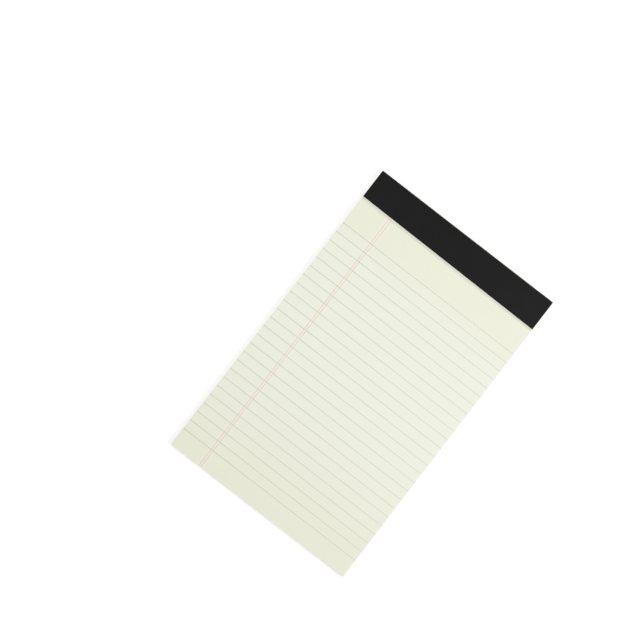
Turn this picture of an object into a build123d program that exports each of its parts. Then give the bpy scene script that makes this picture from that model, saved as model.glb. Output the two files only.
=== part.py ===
from build123d import *
import math
import os

# A legal pad lying face up: a block of ruled leaves on a chipboard back, stitched through the head
# with two flat wire staples and bound with a paper strip folded over the head.
# All sizes are in millimetres. X runs across the pad, +Y points to the head and +Z out of the writing
# face. The origin is the middle of the pad's footprint, on the surface that the pad lies on.

# Overall size, over the strip
pad_width = 127.0
pad_length = 203.2

# Leaves
leaf_count = 50
leaf_pitch = 0.09
air_width = 0.02
air_depth = 0.4

# Perforation, a row of slits through every leaf just below the strip
slit_length = 0.9
slit_width = 0.05
slit_tie = 0.5
perforation_gap = 0.8
perforation_end = 1.2

# Chipboard back
board_thickness = 0.75

# Binding strip: its width is measured flat, before it is folded
strip_thickness = 0.15
strip_width = 44.45
front_flap_depth = 19.73
flap_skew = 0.469
fold_radius = 0.35
fold_ease = 0.1

# Staples of flat wire; the bend is that of the wire's middle line
wire_thickness = 0.45
wire_width = 0.6
wire_bend = 0.45
wire_clearance = 0.04
wire_seat = 0.02
staple_crown = 12.7
staple_spacing = 63.5
staple_from_head = 9.0
clinch_length = 4.5

# Printed ruling on the top leaf, as films of ink; the rules fill the length between two bare ends
ruling_start_depth = 38.71
ruling_end_depth = 10.0
rule_pitch = 6.35
rule_width = 0.28
margin_from_left = 20.5
margin_spacing = 1.5
margin_width = 0.3
margin_start_gap = 0.1
rule_ink = 0.02
margin_ink = 0.03

# Levels from the underside up
board_bottom = strip_thickness
board_top = board_bottom + board_thickness
leaves_bottom = board_top
leaves_top = leaves_bottom + leaf_count * leaf_pitch
pad_top = leaves_top + strip_thickness

# Places along the pad
head = pad_length / 2
leaf_head = head - strip_thickness
tail = -pad_length / 2
leaf_length = leaf_head - tail
left = -pad_width / 2
right = pad_width / 2

# The strip lies a little askew, so the front flap is deeper where the back one is shallower
skew_slope = math.tan(math.radians(flap_skew))
skew_rise = skew_slope * pad_width / 2
front_depth_left = front_flap_depth - skew_rise
front_depth_right = front_flap_depth + skew_rise
back_flap_depth = strip_width - pad_top - front_flap_depth
back_depth_left = back_flap_depth + skew_rise
back_depth_right = back_flap_depth - skew_rise

# The edges under the two folds are crushed a little rounder than the folds themselves
upper_fold = fold_radius
lower_fold = min(fold_radius, 0.8 * board_thickness - fold_ease)
perforation_y = head - max(front_depth_left, front_depth_right) - perforation_gap


def slab(y_low, y_high, z_low, z_high):
    """A plate across the whole width of the pad."""
    plate = Box(pad_width, y_high - y_low, z_high - z_low, align=(Align.CENTER, Align.MIN, Align.MIN))
    return Pos(0, y_low, z_low) * plate


def head_edge(solid, side):
    """The edge along the head of a plate, its upper one for side -1 and its lower one for side 0."""
    return solid.edges().filter_by(Axis.X).group_by(Axis.Y)[-1].sort_by(Axis.Z)[side]


def staple(centre_x, ease=0.0):
    """A staple: crown on top, a leg at each end, and the legs' points turned in under the board."""
    crown_level = leaves_top - wire_thickness / 2 - wire_seat
    clinch_level = board_bottom + wire_thickness / 2 + wire_seat
    half = staple_crown / 2
    tip = half - clinch_length - ease
    corners = [
        (-tip, clinch_level),
        (-half, clinch_level),
        (-half, crown_level),
        (half, crown_level),
        (half, clinch_level),
        (tip, clinch_level),
    ]
    outline = trace(FilletPolyline(*corners, radius=wire_bend), line_width=wire_thickness + 2 * ease)
    bent = extrude(Plane.XZ * outline, wire_width / 2 + ease, both=True)
    return Pos(centre_x, leaf_head - staple_from_head, 0) * bent


staple_places = {"staple_left": -staple_spacing / 2, "staple_right": staple_spacing / 2}
channels = [staple(x, wire_clearance) for x in staple_places.values()]


def make_sheets():
    """All the leaves as one block, with the air between them let in at the three cut edges."""
    block = slab(tail, leaf_head, leaves_bottom, leaves_top)
    block = fillet(head_edge(block, -1), upper_fold + fold_ease)
    leaf = Pos(0, (tail + leaf_head) / 2) * Rectangle(pad_width, leaf_length)
    inner_length = leaf_length - air_depth
    inner = Pos(0, leaf_head - inner_length / 2) * Rectangle(pad_width - 2 * air_depth, inner_length)
    air = extrude(leaf - inner, air_width)
    levels = [leaves_bottom + n * leaf_pitch - air_width / 2 for n in range(1, leaf_count)]
    block -= [Pos(0, 0, level) * air for level in levels]
    slit_pitch = slit_length + slit_tie
    slit_count = int((pad_width - 2 * perforation_end + slit_tie) / slit_pitch)
    slit = Box(slit_length, slit_width, leaves_top - leaves_bottom)
    row = Pos(0, perforation_y, (leaves_bottom + leaves_top) / 2)
    block -= [row * place * slit for place in GridLocations(slit_pitch, 1, slit_count, 1)]
    return block - channels


def make_back_board():
    """The chipboard back, flush with the leaves, with the clinched staple ends pressed into it."""
    board = slab(tail, leaf_head, board_bottom, board_top)
    board = fillet(head_edge(board, 0), lower_fold + fold_ease)
    return board - channels


def wrapped_section(head_y, level_low, level_high, round_low, round_high):
    """A section along the pad, from the deepest flap edge to the head, with its head corners rounded."""
    reach = head - max(front_depth_left, front_depth_right, back_depth_left, back_depth_right)
    corners = [(reach, level_low), (head_y, level_low), (head_y, level_high), (reach, level_high)]
    section = make_face(Polyline(*corners, close=True))
    section = fillet(section.vertices().group_by(Axis.X)[-1].sort_by(Axis.Y)[0], round_low)
    return fillet(section.vertices().group_by(Axis.Y)[-1].sort_by(Axis.X)[-1], round_high)


def flap_space(depth_left, depth_right, level_low, level_high):
    """The space that one flap may fill, down to its skewed edge."""
    corners = [(left, head), (right, head), (right, head - depth_right), (left, head - depth_left)]
    plan = make_face(Polyline(*corners, close=True))
    return Pos(0, 0, level_low) * extrude(plan, level_high - level_low)


def make_binding_strip():
    """One strip of paper folded over the head, laid on a little askew, with its ends cut flush."""
    outside = wrapped_section(head, 0, pad_top, lower_fold + strip_thickness, upper_fold + strip_thickness)
    inside = wrapped_section(leaf_head, board_bottom, leaves_top, lower_fold, upper_fold)
    folded = extrude(Plane.YZ * (outside - inside), pad_width / 2, both=True)
    middle = pad_top / 2
    front = flap_space(front_depth_left, front_depth_right, middle, pad_top)
    back = flap_space(back_depth_left, back_depth_right, 0, middle)
    return folded & (front + back)


def make_ruling():
    """The cross rules, printed from edge to edge of the top leaf."""
    rule = Box(pad_width, rule_width, rule_ink, align=(Align.CENTER, Align.CENTER, Align.MIN))
    rule_count = int((pad_length - ruling_start_depth - ruling_end_depth) / rule_pitch) + 1
    places = [head - ruling_start_depth - n * rule_pitch for n in range(rule_count)]
    return Compound([Pos(0, y, leaves_top) * rule for y in places])


def make_margin_rules(ruling):
    """The double rule of the margin, printed over the cross rules from the strip to the tail."""
    lines = []
    for x in (left + margin_from_left, left + margin_from_left + margin_spacing):
        start = head - front_flap_depth - skew_slope * x - margin_start_gap
        line = Box(margin_width, start - tail, margin_ink, align=(Align.CENTER, Align.MIN, Align.MIN))
        lines.append(Pos(x, tail, leaves_top) * line - ruling.solids())
    return Compound(lines)


ruling = make_ruling()
parts = {
    "sheets": make_sheets(),
    "back_board": make_back_board(),
    "binding_strip": make_binding_strip(),
    **{name: staple(x) for name, x in staple_places.items()},
    "ruling": ruling,
    "margin_rules": make_margin_rules(ruling),
}

os.makedirs("parts", exist_ok=True)
for name, shape in parts.items():
    export_step(shape, f"parts/{name}.step")
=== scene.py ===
import math
import random

import bpy
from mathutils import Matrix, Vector


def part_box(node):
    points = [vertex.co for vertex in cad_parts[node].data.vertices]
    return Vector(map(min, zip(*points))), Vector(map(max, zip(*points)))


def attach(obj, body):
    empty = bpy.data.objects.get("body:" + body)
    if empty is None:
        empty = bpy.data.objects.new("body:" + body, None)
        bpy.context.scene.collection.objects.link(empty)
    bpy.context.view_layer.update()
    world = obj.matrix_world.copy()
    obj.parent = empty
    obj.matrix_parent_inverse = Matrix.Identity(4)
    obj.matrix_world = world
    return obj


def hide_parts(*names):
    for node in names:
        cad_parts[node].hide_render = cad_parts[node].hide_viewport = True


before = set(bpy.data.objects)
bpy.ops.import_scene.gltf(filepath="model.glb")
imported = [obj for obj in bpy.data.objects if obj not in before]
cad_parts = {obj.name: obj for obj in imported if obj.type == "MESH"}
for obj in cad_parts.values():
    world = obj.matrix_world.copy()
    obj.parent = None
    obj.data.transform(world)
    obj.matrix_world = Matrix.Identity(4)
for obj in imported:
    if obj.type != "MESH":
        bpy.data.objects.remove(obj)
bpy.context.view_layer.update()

# A legal pad lying face up: ruled leaves on a chipboard back, with a black paper strip folded over
# the head. Everything is in metres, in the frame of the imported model: X across the pad, +Y to the
# head and +Z out of the writing face. Sizes are written in millimetres, times mm.
mm = 0.001

# Leaves: the air let in between their cut edges, how far an edge may stand back from the trim, by a
# chance that is the same each run, and how the head of the block is rounded under the fold
leaf_count = 50
air_width = 0.02 * mm
air_depth = 0.4 * mm
trim_jog = 0.05 * mm
trim_seed = 7
head_round = 0.45 * mm

# Perforation just below the strip
slit_length = 0.9 * mm
slit_width = 0.05 * mm
slit_pitch = 1.4 * mm
slit_count = 89
perforation_from_head = 21.05 * mm

# Staples of flat wire, and how much wider than the wire their channels are on each side
wire_thickness = 0.45 * mm
wire_ease = 0.1 * mm

# Printed ruling
rule_pitch = 6.35 * mm
rule_width = 0.28 * mm

# Outside radius of the strip's upper fold
strip_fold = 0.5 * mm

# The photograph's camera: its place over the pad, its turn in degrees and its lens
camera_place = Vector((-44.44, -11.34, 735.3)) * mm
camera_turn = (1.011, -1.332, 37.721)
camera_lens = 70.0

# Two soft boxes that face down beside the pad, the right one stronger, in a tent of light that is
# brightest low down. A share is the part of full light that a source gives a level surface right below
# it, and for the tent it is its brightness overhead and at the horizon.
soft_boxes = {
    "left_soft_box": (Vector((-276.0, 36.0, 600.0)) * mm, 0.455),
    "right_soft_box": (Vector((294.0, 58.0, 600.0)) * mm, 0.675),
}
soft_box_size = 260.0 * mm
dome_share = 0.1
horizon_share = 1.9

# Heights in the tent are the sine of the angle over the horizon. Its light is even from the first of
# them up. What is seen of it, in a reflection too, is white up to the second and dims to the third, so
# that black stays black.
tent_even, seen_white, seen_dim = 0.5, 0.4, 0.9
dim_strength = 0.35

# Floor. To the camera it glows, less near the pad, so that it is white there and still shows a shadow,
# and fully further out, so that it stays white to the horizon.
floor_size = 8000.0 * mm
floor_colour = "#F4F4F4"
floor_grey = 0.48
near_glow, near_radius = 0.62, 150.0 * mm
far_glow, far_radius = 1.0, 450.0 * mm

# Places taken from the frame
sheets_low, sheets_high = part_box("sheets")
strip_low, strip_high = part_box("binding_strip")
ruling_low, ruling_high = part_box("ruling")
margin_low, margin_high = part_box("margin_rules")
leaf_pitch = (sheets_high.z - sheets_low.z) / leaf_count
pad_width = strip_high.x - strip_low.x
first_rule = ruling_high.y - rule_width / 2
last_rule = ruling_low.y + rule_width / 2
margin_middle = (margin_low.x + margin_high.x) / 2


def flap_edge():
    """The skewed lower edge of the strip's front flap: its Y at the pad's middle, and its slope."""
    hair = 0.01 * mm
    corners = [v.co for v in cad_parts["binding_strip"].data.vertices]
    top = [p for p in corners if p.z > strip_high.z - hair]
    at_left = min(p.y for p in top if p.x < strip_low.x + hair)
    at_right = min(p.y for p in top if p.x > strip_high.x - hair)
    return (at_left + at_right) / 2, (at_right - at_left) / pad_width


flap_middle, flap_slope = flap_edge()


# Making materials

def linear(hex_colour):
    """The linear colour of an sRGB hex value."""
    channels = [int(hex_colour[n:n + 2], 16) / 255 for n in (1, 3, 5)]
    return [c / 12.92 if c <= 0.04045 else ((c + 0.055) / 1.055) ** 2.4 for c in channels] + [1.0]


def add(tree, kind, inputs=None, **settings):
    """Adds a node with its settings, and gives each input named a value or a link from another node."""
    node = tree.nodes.new(kind)
    for name, value in settings.items():
        setattr(node, name, value)
    usable = [socket for socket in node.inputs if socket.enabled]
    for name, value in (inputs or {}).items():
        socket = usable[name] if isinstance(name, int) else next(s for s in usable if s.name == name)
        if isinstance(value, bpy.types.Node):
            value = next(s for s in value.outputs if s.enabled)
        if isinstance(value, bpy.types.NodeSocket):
            tree.links.new(value, socket)
        else:
            socket.default_value = value[:3] if socket.type == "VECTOR" else value
    return node


def new_material(name):
    """An empty material: the material, its node tree and its object coordinates."""
    material = bpy.data.materials.new(name)
    material.use_nodes = True
    tree = material.node_tree
    tree.nodes.clear()
    return material, tree, add(tree, "ShaderNodeTexCoord").outputs["Object"]


def grain(tree, place, size, detail=2.0):
    """Noise with grains of a real size along each axis, around 0.5."""
    sized = add(tree, "ShaderNodeMapping", {"Vector": place, "Scale": [1 / s for s in size]})
    return add(tree, "ShaderNodeTexNoise", {"Vector": sized, "Scale": 1.0, "Detail": detail})


def shaded(tree, colour, *swings):
    """A colour made lighter and darker by noises, each with the share of the colour that it moves."""
    light = 1.0
    for noise, share in swings:
        swing = add(tree, "ShaderNodeMapRange", {
            "Value": noise, "From Min": 0.25, "From Max": 0.75, "To Min": 1 - share, "To Max": 1 + share})
        light = add(tree, "ShaderNodeMath", {0: swing, 1: light}, operation="MULTIPLY")
    return add(tree, "ShaderNodeVectorMath", {"Vector": colour, "Scale": light}, operation="SCALE")


# Painted shade below the strip: where it starts and ends below the strip's edge, and the light left in it
strip_shade_start = 0.6 * mm
strip_shade_end = 2.4 * mm
strip_shade_light = 0.862


def below_flap(tree, place):
    """How far a point lies below the strip's skewed lower edge."""
    axes = add(tree, "ShaderNodeSeparateXYZ", {"Vector": place})
    edge = add(tree, "ShaderNodeMath", {
        0: axes.outputs["X"], 1: flap_slope, 2: flap_middle}, operation="MULTIPLY_ADD")
    return add(tree, "ShaderNodeMath", {0: edge, 1: axes.outputs["Y"]}, operation="SUBTRACT")


def shade_below_strip(tree, place, colour):
    """A colour darkened softly below the strip's skewed edge: painted shade of the strip's edge on the
    leaf.
    """
    light = add(tree, "ShaderNodeMapRange", {
        "Value": below_flap(tree, place), "From Min": strip_shade_start, "From Max": strip_shade_end, "To Min": strip_shade_light,
        "To Max": 1.0}, interpolation_type="SMOOTHSTEP")
    return add(tree, "ShaderNodeVectorMath", {"Vector": colour, "Scale": light}, operation="SCALE")


# Materials

paper_colour = "#EFF1E2"
bare_paper_colour = "#EFEFDD"
rosy_paper_colour = "#F4F1E2"

# How far the creamy ends reach into the ruled field and where they are full, from the outermost rules,
# and where the rosy tint is full and gone, from the middle of the margin rules
head_cream_reach, head_cream_full = 16.0 * mm, 7.0 * mm
tail_cream_reach, tail_cream_full = 75.0 * mm, 10.0 * mm
rosy_full, rosy_end = 0.75 * mm, 3.2 * mm


def leaf_colour(tree, place):
    """The colour of a leaf: greener in the ruled field, creamier in the bare ends of the leaf and faintly
    rosy by the margin rules, as fine lines tint the paper around them from a step away."""
    axes = add(tree, "ShaderNodeSeparateXYZ", {"Vector": place})
    y = axes.outputs["Y"]
    head_end = add(tree, "ShaderNodeMapRange", {
        "Value": y, "From Min": first_rule - head_cream_reach, "From Max": first_rule + head_cream_full},
        interpolation_type="SMOOTHSTEP")
    tail_end = add(tree, "ShaderNodeMapRange", {
        "Value": y, "From Min": last_rule + tail_cream_reach, "From Max": last_rule - tail_cream_full},
        interpolation_type="SMOOTHSTEP")
    ends = add(tree, "ShaderNodeMath", {0: head_end, 1: tail_end}, operation="MAXIMUM")
    plain = add(tree, "ShaderNodeMix", {
        "Factor": ends, "A": linear(paper_colour), "B": linear(bare_paper_colour)}, data_type="RGBA")
    across = add(tree, "ShaderNodeMath", {0: axes.outputs["X"], 1: margin_middle}, operation="SUBTRACT")
    aside = add(tree, "ShaderNodeMath", {0: across}, operation="ABSOLUTE")
    by_margin = add(tree, "ShaderNodeMapRange", {
        "Value": aside, "From Min": rosy_end, "From Max": rosy_full}, interpolation_type="SMOOTHSTEP")
    return add(tree, "ShaderNodeMix", {
        "Factor": by_margin, "A": plain, "B": linear(rosy_paper_colour)}, data_type="RGBA")


def make_paper():
    """Tinted uncoated writing paper, calendered: matt and even, faintly cloudy where fibres lie thick."""
    material, tree, place = new_material("tinted_uncoated_paper")
    clouds = grain(tree, place, (6 * mm, 6 * mm, 6 * mm), 3.0)
    # Fibres are some 0.03 mm wide; drawn ten times coarser so that they show
    fibres = grain(tree, place, (0.35 * mm, 1.4 * mm, 1.0 * mm))
    colour = shaded(tree, leaf_colour(tree, place), (clouds, 0.006), (fibres, 0.008))
    felt = grain(tree, place, (0.25 * mm, 0.4 * mm, 0.25 * mm), 3.0)
    bump = add(tree, "ShaderNodeBump", {"Height": felt, "Distance": 0.006 * mm, "Strength": 1.0})
    # Below the strip's edge the base colour carries painted shade
    finish = add(tree, "ShaderNodeBsdfPrincipled", {
        "Base Color": shade_below_strip(tree, place, colour), "Roughness": 0.85, "Specular IOR Level": 0.3,
        "Normal": bump})
    add(tree, "ShaderNodeOutputMaterial", {"Surface": finish})
    return material


def make_cut_paper():
    """The same paper at the guillotined edges of the block: fine streaks, a leaf or a few leaves thick."""
    material, tree, place = new_material("guillotined_paper_edges")
    leaf_streaks = grain(tree, place, (60 * mm, 60 * mm, leaf_pitch), 1.0)
    # Groups of leaves that took the blade alike, thick enough to show from a step away
    group_streaks = grain(tree, place, (90 * mm, 90 * mm, 0.7 * mm), 2.0)
    knife_marks = grain(tree, place, (0.5 * mm, 0.5 * mm, 40 * mm), 2.0)
    colour = shaded(
        tree, linear("#EEEEDC"), (leaf_streaks, 0.07), (group_streaks, 0.06), (knife_marks, 0.015))
    finish = add(tree, "ShaderNodeBsdfPrincipled", {
        "Base Color": colour, "Roughness": 0.9, "Specular IOR Level": 0.25})
    add(tree, "ShaderNodeOutputMaterial", {"Surface": finish})
    return material


# Both inks: their finish, how densely they cover the paper, and what is left of their light at a crossing
ink_finish = {"Roughness": 0.8, "Specular IOR Level": 0.3}
ink_density = 0.95
crossing_light = 0.86


def inked(tree, place, ink, thinner_right):
    """The colour of offset ink, thin and soaked into the leaf, with a mottle where it misses the fibres.
    Its density falls by thinner_right from the left to the right."""
    mottle = grain(tree, place, (0.5 * mm, 0.5 * mm, 0.5 * mm), 2.0)
    waves = grain(tree, place, (14 * mm, 14 * mm, 14 * mm), 1.0)
    x = add(tree, "ShaderNodeSeparateXYZ", {"Vector": place}).outputs["X"]
    across = add(tree, "ShaderNodeMapRange", {
        "Value": x, "From Min": strip_low.x, "From Max": strip_high.x, "To Min": ink_density,
        "To Max": ink_density - thinner_right})
    fine = add(tree, "ShaderNodeMapRange", {
        "Value": mottle, "From Min": 0.3, "From Max": 0.7, "To Min": 0.85, "To Max": 1.15})
    broad = add(tree, "ShaderNodeMapRange", {
        "Value": waves, "From Min": 0.3, "From Max": 0.7, "To Min": 0.93, "To Max": 1.07})
    density = add(tree, "ShaderNodeMath", {0: across, 1: fine}, operation="MULTIPLY")
    density = add(tree, "ShaderNodeMath", {0: density, 1: broad}, operation="MULTIPLY", use_clamp=True)
    return add(tree, "ShaderNodeMix", {
        "Factor": density, "A": linear(paper_colour), "B": linear(ink)}, data_type="RGBA")


def make_rule_ink():
    """Offset ink of the ruling: matt, and a pale grey that looks steel blue beside the cream paper."""
    material, tree, place = new_material("blue_grey_offset_ink")
    colour = inked(tree, place, "#B2BDB5", thinner_right=0.3)
    finish = add(tree, "ShaderNodeBsdfPrincipled", {"Base Color": colour, **ink_finish})
    add(tree, "ShaderNodeOutputMaterial", {"Surface": finish})
    return material


def make_margin_ink():
    """Offset ink of the margin: matt and pale pink, greyer where it crosses a rule, as both are thin."""
    material, tree, place = new_material("pink_offset_ink")
    colour = inked(tree, place, "#D8CABD", thinner_right=0.0)
    y = add(tree, "ShaderNodeSeparateXYZ", {"Vector": place}).outputs["Y"]
    ruled = add(tree, "ShaderNodeMath", {
        0: y, 1: (first_rule + last_rule) / 2, 2: (first_rule - last_rule) / 2 + rule_width},
        operation="COMPARE")
    from_first = add(tree, "ShaderNodeMath", {0: y, 1: first_rule}, operation="SUBTRACT")
    from_rule = add(tree, "ShaderNodeMath", {0: from_first, 1: rule_pitch / 2}, operation="PINGPONG")
    crossing = add(tree, "ShaderNodeMapRange", {
        "Value": from_rule, "From Min": 0.4 * rule_width, "From Max": 0.6 * rule_width,
        "To Min": 1.0, "To Max": 0.0})
    both_inks = add(tree, "ShaderNodeMath", {0: crossing, 1: ruled}, operation="MULTIPLY")
    light = add(tree, "ShaderNodeMapRange", {"Value": both_inks, "To Min": 1.0, "To Max": crossing_light})
    crossed = add(tree, "ShaderNodeVectorMath", {"Vector": colour, "Scale": light}, operation="SCALE")
    # Below the strip's edge the base colour carries painted shade
    finish = add(tree, "ShaderNodeBsdfPrincipled", {
        "Base Color": shade_below_strip(tree, place, crossed), **ink_finish})
    add(tree, "ShaderNodeOutputMaterial", {"Surface": finish})
    return material


# The lighter khaki line along the crest of the strip's fold: how far it reaches from the crest, how far
# from the strip's ends it fades, and how much of it is left there
crest_line_full, crest_line_gone = 0.1 * mm, 0.24 * mm
left_fade, left_line_share = 40.0 * mm, 0.3
right_fade_start, right_fade_end, right_line_share = 14.0 * mm, 6.0 * mm, 0.2

# The khaki core at the strip's cut ends: where it starts and is full, inwards from the end, and how much
# of it shows there
core_start, core_full, core_share = 0.18 * mm, 0.06 * mm, 0.7


def make_strip_paper():
    """Black dyed binding paper, lightly coated: a satin black with a fine fibre grain, a thin lighter
    khaki line along the fold at the head, and a little lighter at its cut ends."""
    material, tree, place = new_material("black_binding_paper")
    axes = add(tree, "ShaderNodeSeparateXYZ", {"Vector": place})
    fibres = grain(tree, place, (0.9 * mm, 0.35 * mm, 0.5 * mm), 3.0)
    clouds = grain(tree, place, (9 * mm, 9 * mm, 9 * mm), 2.0)
    black = shaded(tree, linear("#161616"), (fibres, 0.12), (clouds, 0.08))
    # The crest of the fold, a thin line along the head
    inset = strip_fold * (1 - math.cos(math.radians(45)))
    from_crest = add(tree, "ShaderNodeVectorMath", {
        0: place, 1: (0.0, strip_high.y - inset, strip_high.z - inset)}, operation="SUBTRACT")
    section = add(tree, "ShaderNodeVectorMath", {0: from_crest, 1: (0.0, 1.0, 1.0)}, operation="MULTIPLY")
    away = add(tree, "ShaderNodeVectorMath", {0: section}, operation="LENGTH").outputs["Value"]
    crest = add(tree, "ShaderNodeMapRange", {
        "Value": away, "From Min": crest_line_full, "From Max": crest_line_gone, "To Min": 1.0, "To Max": 0.0})
    crest_patches = grain(tree, place, (6 * mm, 0.6 * mm, 0.6 * mm), 3.0)
    crest_patchy = add(tree, "ShaderNodeMapRange", {
        "Value": crest_patches, "From Min": 0.3, "From Max": 0.6, "To Min": 0.75, "To Max": 1.0})
    along = add(tree, "ShaderNodeMapRange", {
        "Value": axes.outputs["X"], "From Min": strip_low.x, "From Max": strip_low.x + left_fade,
        "To Min": left_line_share, "To Max": 1.0}, interpolation_type="SMOOTHSTEP")
    corner = add(tree, "ShaderNodeMapRange", {
        "Value": axes.outputs["X"], "From Min": strip_high.x - right_fade_start,
        "From Max": strip_high.x - right_fade_end, "To Min": 1.0, "To Max": right_line_share},
        interpolation_type="SMOOTHSTEP")
    crest_line = add(tree, "ShaderNodeMath", {0: crest, 1: crest_patchy}, operation="MULTIPLY")
    crest_line = add(tree, "ShaderNodeMath", {0: crest_line, 1: along}, operation="MULTIPLY")
    crest_line = add(tree, "ShaderNodeMath", {0: crest_line, 1: corner}, operation="MULTIPLY")
    with_crest_line = add(tree, "ShaderNodeMix", {
        "Factor": crest_line, "A": black, "B": linear("#8C8A6E")}, data_type="RGBA")
    # The cut ends, where the dye hasn't reached the core
    out = add(tree, "ShaderNodeMath", {0: axes.outputs["X"]}, operation="ABSOLUTE")
    end = add(tree, "ShaderNodeMapRange", {
        "Value": out, "From Min": strip_high.x - core_start, "From Max": strip_high.x - core_full,
        "To Min": 0.0, "To Max": core_share})
    colour = add(tree, "ShaderNodeMix", {
        "Factor": end, "A": with_crest_line, "B": linear("#9C8A62")}, data_type="RGBA")
    sheen = add(tree, "ShaderNodeMapRange", {
        "Value": fibres, "From Min": 0.3, "From Max": 0.7, "To Min": 0.43, "To Max": 0.51})
    bump = add(tree, "ShaderNodeBump", {"Height": fibres, "Distance": 0.008 * mm, "Strength": 1.0})
    # The usual specular level is 0.5, brought down to how black the strip stays in the photograph
    finish = add(tree, "ShaderNodeBsdfPrincipled", {
        "Base Color": colour, "Roughness": sheen, "Specular IOR Level": 0.08, "Normal": bump})
    add(tree, "ShaderNodeOutputMaterial", {"Surface": finish})
    return material


def make_chipboard():
    """Grey chipboard pressed from waste paper, uncoated: dull and mottled, with dark and pale flecks of
    fibre lying every way, and thin plies in its cut edges."""
    material, tree, place = new_material("grey_chipboard")
    clouds = grain(tree, place, (5 * mm, 5 * mm, 2 * mm), 3.0)
    pulp = grain(tree, place, (0.5 * mm, 0.5 * mm, 0.25 * mm), 5.0)
    plies = grain(tree, place, (8 * mm, 8 * mm, 0.13 * mm), 1.0)
    colour = shaded(tree, linear("#A39B8A"), (clouds, 0.04), (pulp, 0.12), (plies, 0.05))
    flecks = {"#6F685C": (0.28 * mm, 1.0 * mm, 0.2 * mm), "#C9C3B4": (0.8 * mm, 0.25 * mm, 0.2 * mm)}
    for fleck_colour, size in flecks.items():
        fleck = add(tree, "ShaderNodeMapRange", {
            "Value": grain(tree, place, size, 1.0), "From Min": 0.64, "From Max": 0.7, "To Max": 0.6})
        colour = add(tree, "ShaderNodeMix", {
            "Factor": fleck, "A": colour, "B": linear(fleck_colour)}, data_type="RGBA")
    bump = add(tree, "ShaderNodeBump", {"Height": pulp, "Distance": 0.03 * mm, "Strength": 1.0})
    finish = add(tree, "ShaderNodeBsdfPrincipled", {
        "Base Color": colour, "Roughness": 0.92, "Specular IOR Level": 0.2, "Normal": bump})
    add(tree, "ShaderNodeOutputMaterial", {"Surface": finish})
    return material


def make_staple_wire():
    """Galvanised steel wire, drawn and rolled flat: bright, with fine lines along the wire."""
    material, tree, place = new_material("galvanised_steel_wire")
    lines = grain(tree, place, (4 * mm, 0.05 * mm, 0.05 * mm), 2.0)
    colour = shaded(tree, linear("#C9CBCD"), (lines, 0.08))
    bump = add(tree, "ShaderNodeBump", {"Height": lines, "Distance": 0.004 * mm, "Strength": 1.0})
    finish = add(tree, "ShaderNodeBsdfPrincipled", {
        "Base Color": colour, "Metallic": 1.0, "Roughness": 0.32, "Normal": bump})
    add(tree, "ShaderNodeOutputMaterial", {"Surface": finish})
    return material


# Modelling

def start_slab(name, low, high):
    """Adds a box between two corners, as the start of a piece, and puts its place in its mesh."""
    bpy.ops.object.select_all(action="DESELECT")
    bpy.ops.mesh.primitive_cube_add(size=1, location=(low + high) / 2, scale=high - low)
    piece = bpy.context.object
    piece.name = name
    piece.data.name = name
    bpy.ops.object.transform_apply(location=True, rotation=True, scale=True)
    return piece


def select_edges(piece, chosen):
    """In edit mode, selects the edges whose two ends a test picks."""
    bpy.ops.mesh.select_mode(type="EDGE")
    bpy.ops.mesh.select_all(action="DESELECT")
    bpy.ops.object.mode_set(mode="OBJECT")
    for edge in piece.data.edges:
        edge.select = all(chosen(piece.data.vertices[n].co) for n in edge.vertices)
    bpy.ops.object.mode_set(mode="EDIT")


def select_faces(piece, chosen):
    """In edit mode, selects the faces that a test picks."""
    bpy.ops.mesh.select_mode(type="FACE")
    bpy.ops.mesh.select_all(action="DESELECT")
    bpy.ops.object.mode_set(mode="OBJECT")
    for face in piece.data.polygons:
        face.select = chosen(face)
    bpy.ops.object.mode_set(mode="EDIT")


def extrude(height):
    """Extrudes the selected faces up or down, or by nothing for a step that is then reshaped."""
    bpy.ops.mesh.extrude_region_move(TRANSFORM_OT_translate={"value": (0, 0, height)})


def head_inset(depth):
    """How far a leaf's head end stands back where the fold rounds the block, this deep below its top."""
    if depth >= head_round:
        return 0.0
    return head_round - math.sqrt(head_round ** 2 - (head_round - depth) ** 2)


def make_slits():
    """The perforation as a row of thin blocks that reach through all the leaves."""
    first_slit = -(slit_count - 1) / 2 * slit_pitch
    middle = Vector((first_slit, strip_high.y - perforation_from_head, (sheets_low.z + sheets_high.z) / 2))
    reach = Vector((slit_length, slit_width, sheets_high.z - sheets_low.z + leaf_pitch)) / 2
    slits = start_slab("slits", middle - reach, middle + reach)
    row = slits.modifiers.new("row", "ARRAY")
    row.count = slit_count
    row.use_relative_offset = False
    row.use_constant_offset = True
    row.constant_offset_displace = (slit_pitch, 0, 0)
    bpy.ops.object.modifier_apply(modifier="row")
    return slits


def make_channel(staple):
    """A block like a staple down to the board, a little larger all round: a crown and two legs."""
    low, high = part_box(staple)
    ease = Vector((wire_ease, wire_ease, wire_ease))
    under_crown = high.z - wire_thickness
    channel = start_slab("channel", Vector((low.x, low.y, under_crown)) - ease, high + ease)
    leg_reach = wire_thickness + wire_ease
    inner_sides = (low.x + leg_reach, high.x - leg_reach)
    bpy.ops.object.mode_set(mode="EDIT")
    for x in inner_sides:
        bpy.ops.mesh.select_all(action="SELECT")
        bpy.ops.mesh.bisect(plane_co=(x, 0, 0), plane_no=(1, 0, 0))
    select_faces(channel, lambda face: (
        round(face.normal.z) == -1 and not inner_sides[0] < face.center.x < inner_sides[1]))
    extrude(sheets_low.z - under_crown)
    bpy.ops.object.mode_set(mode="OBJECT")
    return channel


def pierce(piece):
    """Cuts the perforation and the channels of the two staples through a piece."""
    for cutter in (make_slits(), make_channel("staple_left"), make_channel("staple_right")):
        bpy.ops.object.select_all(action="DESELECT")
        bpy.context.view_layer.objects.active = piece
        piece.select_set(True)
        cut = piece.modifiers.new("cut", "BOOLEAN")
        cut.operation = "DIFFERENCE"
        cut.solver = "EXACT"
        cut.object = cutter
        bpy.ops.object.modifier_apply(modifier="cut")
        bpy.data.objects.remove(cutter)


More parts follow.
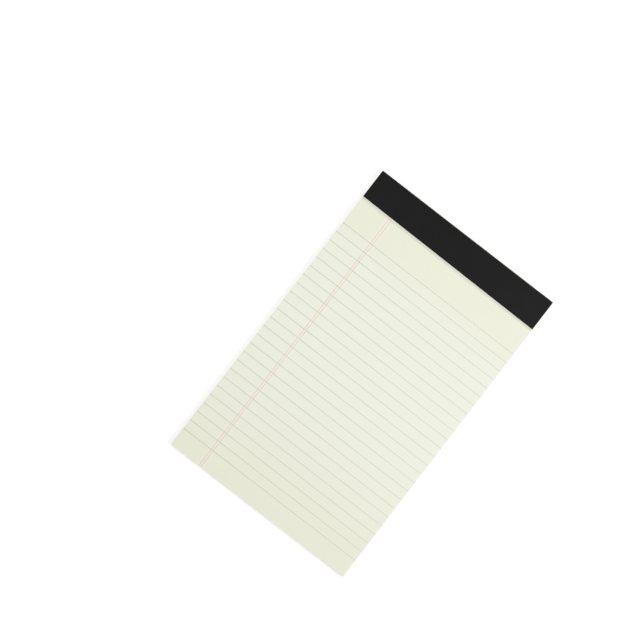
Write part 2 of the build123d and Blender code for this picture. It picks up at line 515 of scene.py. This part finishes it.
def make_top_leaf():
    """The top leaf: a sheet with its head end eased under the fold, pierced like the leaves below."""
    low = Vector((sheets_low.x, sheets_low.y, sheets_high.z - leaf_pitch + air_width))
    leaf = start_slab("top_leaf", low, sheets_high)
    bpy.ops.object.mode_set(mode="EDIT")
    for level in (sheets_high.z, low.z):
        select_edges(leaf, lambda p: p.y > sheets_high.y - head_round and abs(p.z - level) < air_width)
        bpy.ops.transform.translate(value=(0, -head_inset(sheets_high.z - level), 0))
    bpy.ops.object.mode_set(mode="OBJECT")
    pierce(leaf)
    return leaf


def make_leaves():
    """The other leaves as one closed block, built up leaf by leaf: each cut edge stands a little in or
    out of its neighbours, with the air between the leaves let in."""
    chance = random.Random(trim_seed)
    left, right = sheets_low.x, sheets_high.x
    tail, head = sheets_low.y, sheets_high.y
    leaf_thickness = leaf_pitch - air_width

    def outline(depth, inset=0.0):
        """A leaf's rectangle at a depth below the block's top, jogged by chance or drawn in."""
        drawn = [inset or chance.uniform(0, trim_jog) for side in range(3)]
        return (left + drawn[0], right - drawn[1], tail + drawn[2], head - head_inset(depth) - inset)

    def reshape(old, new):
        """Resizes and moves the selected face from one rectangle to another."""
        middle = Vector(((old[0] + old[1]) / 2, (old[2] + old[3]) / 2, 0))
        wide = (new[1] - new[0]) / (old[1] - old[0])
        long = (new[3] - new[2]) / (old[3] - old[2])
        bpy.ops.transform.resize(value=(wide, long, 1), center_override=middle)
        shift = (new[0] + new[1] - old[0] - old[1]) / 2, (new[2] + new[3] - old[2] - old[3]) / 2
        bpy.ops.transform.translate(value=(*shift, 0))

    shape = outline(sheets_high.z - sheets_low.z)
    size = (shape[1] - shape[0], shape[3] - shape[2], 1)
    centre = ((shape[0] + shape[1]) / 2, (shape[2] + shape[3]) / 2, sheets_low.z)
    bpy.ops.object.select_all(action="DESELECT")
    bpy.ops.mesh.primitive_plane_add(size=1, location=centre)
    block = bpy.context.object
    block.name = block.data.name = "leaves"
    block.scale = size
    bpy.ops.object.transform_apply(location=True, rotation=True, scale=True)
    bpy.ops.object.mode_set(mode="EDIT")
    bpy.ops.mesh.select_mode(type="FACE")
    bpy.ops.mesh.select_all(action="SELECT")
    for n in range(leaf_count - 1):
        leaf_top = sheets_low.z + n * leaf_pitch + leaf_thickness
        depth = sheets_high.z - leaf_top
        extrude(leaf_thickness)
        extrude(0)
        inner = outline(depth, air_depth)
        reshape(shape, inner)
        extrude(air_width)
        if n < leaf_count - 2:
            extrude(0)
            shape = outline(depth - leaf_thickness)
            reshape(inner, shape)
    bpy.ops.mesh.select_all(action="SELECT")
    bpy.ops.mesh.normals_make_consistent(inside=False)
    bpy.ops.object.mode_set(mode="OBJECT")
    pierce(block)
    return block


def paint(piece, material):
    """Gives a piece one material all over."""
    piece.data.materials.clear()
    piece.data.materials.append(material)


def repaint(node, material):
    """Puts a material in each slot of a node of the frame."""
    for material_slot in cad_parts[node].material_slots:
        material_slot.material = material


# Pieces

paper = make_paper()
top_leaf = make_top_leaf()
paint(top_leaf, paper)
leaves = make_leaves()
paint(leaves, make_cut_paper())
for piece in (top_leaf, leaves):
    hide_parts("sheets")
    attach(piece, "root")

repaint("ruling", make_rule_ink())
repaint("margin_rules", make_margin_ink())
repaint("binding_strip", make_strip_paper())
repaint("back_board", make_chipboard())
staple_wire = make_staple_wire()
repaint("staple_left", staple_wire)
repaint("staple_right", staple_wire)


# Floor, light and camera

def seen_rays(tree):
    """1 for what the camera sees, also in a reflection or through glass, and 0 for light on the pad."""
    path = add(tree, "ShaderNodeLightPath").outputs
    mirrored = add(tree, "ShaderNodeMath", {
        0: path["Is Camera Ray"], 1: path["Is Glossy Ray"]}, operation="MAXIMUM")
    return add(tree, "ShaderNodeMath", {0: mirrored, 1: path["Is Transmission Ray"]}, operation="MAXIMUM")


def make_floor():
    """A plain white floor that keeps the pad's soft shadow, and stays white out to the horizon."""
    bpy.ops.object.select_all(action="DESELECT")
    bpy.ops.mesh.primitive_plane_add(size=floor_size, location=(0, 0, 0))
    floor = bpy.context.object
    floor.name = "floor"
    material, tree, place = new_material("white_floor")
    away = add(tree, "ShaderNodeVectorMath", {0: place}, operation="LENGTH").outputs["Value"]
    strength = add(tree, "ShaderNodeMapRange", {
        "Value": away, "From Min": near_radius, "From Max": far_radius, "To Min": near_glow,
        "To Max": far_glow})
    glow = add(tree, "ShaderNodeEmission", {"Color": (1, 1, 1, 1), "Strength": strength})
    shadowed = add(tree, "ShaderNodeBsdfDiffuse", {"Color": [floor_grey] * 3 + [1.0]})
    seen = add(tree, "ShaderNodeAddShader", {0: shadowed, 1: glow})
    lit = add(tree, "ShaderNodeBsdfDiffuse", {"Color": linear(floor_colour)})
    either = add(tree, "ShaderNodeMixShader", {"Fac": seen_rays(tree), 1: lit, 2: seen})
    add(tree, "ShaderNodeOutputMaterial", {"Surface": either})
    paint(floor, material)


def make_world():
    """White to the eye, with a dimmer top, and a soft tent of light on the pad."""
    world = bpy.data.worlds.new("studio")
    bpy.context.scene.world = world
    world.use_nodes = True
    tree = world.node_tree
    tree.nodes.clear()
    up = add(tree, "ShaderNodeTexCoord").outputs["Generated"]
    height = add(tree, "ShaderNodeSeparateXYZ", {"Vector": up}).outputs["Z"]
    backdrop = add(tree, "ShaderNodeMapRange", {
        "Value": height, "From Min": seen_white, "From Max": seen_dim, "To Min": 1.0,
        "To Max": dim_strength})
    seen = add(tree, "ShaderNodeBackground", {"Color": (1, 1, 1, 1), "Strength": backdrop})
    share = add(tree, "ShaderNodeMapRange", {
        "Value": height, "From Min": 0.0, "From Max": tent_even, "To Min": horizon_share,
        "To Max": dome_share})
    tent = add(tree, "ShaderNodeBackground", {"Color": (1, 1, 1, 1), "Strength": share})
    either = add(tree, "ShaderNodeMixShader", {"Fac": seen_rays(tree), 1: tent, 2: seen})
    add(tree, "ShaderNodeOutputWorld", {"Surface": either})


def make_soft_boxes():
    """Square lamps facing straight down, each with the power that gives its share of full light."""
    # Right below a lamp its light is its power over pi times its height squared, and full light is pi
    for name, (place, share) in soft_boxes.items():
        light = bpy.data.lights.new(name, "AREA")
        light.size = soft_box_size
        light.energy = share * math.pi ** 2 * place.z ** 2
        lamp = bpy.data.objects.new(name, light)
        lamp.location = place
        lamp.visible_camera = False
        bpy.context.scene.collection.objects.link(lamp)


def make_camera():
    """The camera of the photograph."""
    camera = bpy.data.objects.new("camera", bpy.data.cameras.new("camera"))
    camera.data.lens = camera_lens
    camera.location = camera_place
    camera.rotation_euler = [math.radians(angle) for angle in camera_turn]
    bpy.context.scene.collection.objects.link(camera)
    bpy.context.scene.camera = camera


make_floor()
make_world()
make_soft_boxes()
make_camera()
bpy.context.scene.view_settings.view_transform = "Standard"
